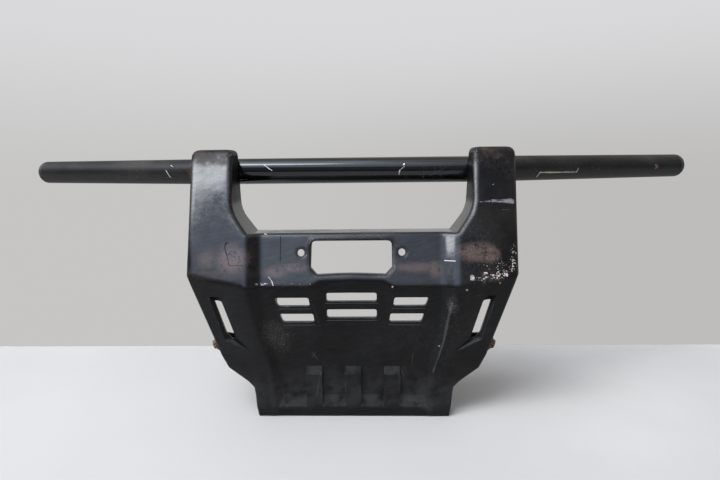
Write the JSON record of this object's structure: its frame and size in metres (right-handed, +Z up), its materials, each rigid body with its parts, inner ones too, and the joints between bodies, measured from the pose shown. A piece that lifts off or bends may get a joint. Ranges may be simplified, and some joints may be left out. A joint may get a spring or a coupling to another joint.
{
  "type": "utility vehicle front bumper",
  "caption": "Moulded plastic cover with a fairlead opening and vent slots over a bent steel cross tube with swept-back sides, on a drilled steel frame",
  "frame": {"origin": "midway between the rear faces of the two chassis plates, where the bumper meets the vehicle", "axes": "+X across the vehicle along the cross tube, +Y towards the vehicle, +Z up"},
  "size_m": [1.3222, 0.3381, 0.435],
  "materials": {
    "cover_plastic": "black moulded polyethylene, scuffed and dusty",
    "tube_paint": "black powder coat on steel, chipped and scratched",
    "plug_plastic": "black moulded plastic",
    "frame_steel": "worn black paint with brown rust",
    "bolt_steel": "rusted steel fasteners"
  },
  "bodies": {
    "root": {"bumper_cover": "cover_plastic", "chassis_plate_left": "frame_steel", "chassis_plate_right": "frame_steel", "cross_tube": "tube_paint", "end_plug_left": "plug_plastic", "end_plug_right": "plug_plastic", "lower_cross_bar": "frame_steel", "side_bolt_left": "bolt_steel", "side_bolt_right": "bolt_steel", "side_nut_left": "bolt_steel", "side_nut_right": "bolt_steel", "side_washer_left": "bolt_steel", "side_washer_right": "bolt_steel", "top_nut_left": "bolt_steel", "top_nut_right": "bolt_steel", "top_screw_left": "bolt_steel", "top_screw_right": "bolt_steel", "top_tab_left": "frame_steel", "top_tab_right": "frame_steel", "upright_left": "frame_steel", "upright_right": "frame_steel"}
  },
  "joints": []
}
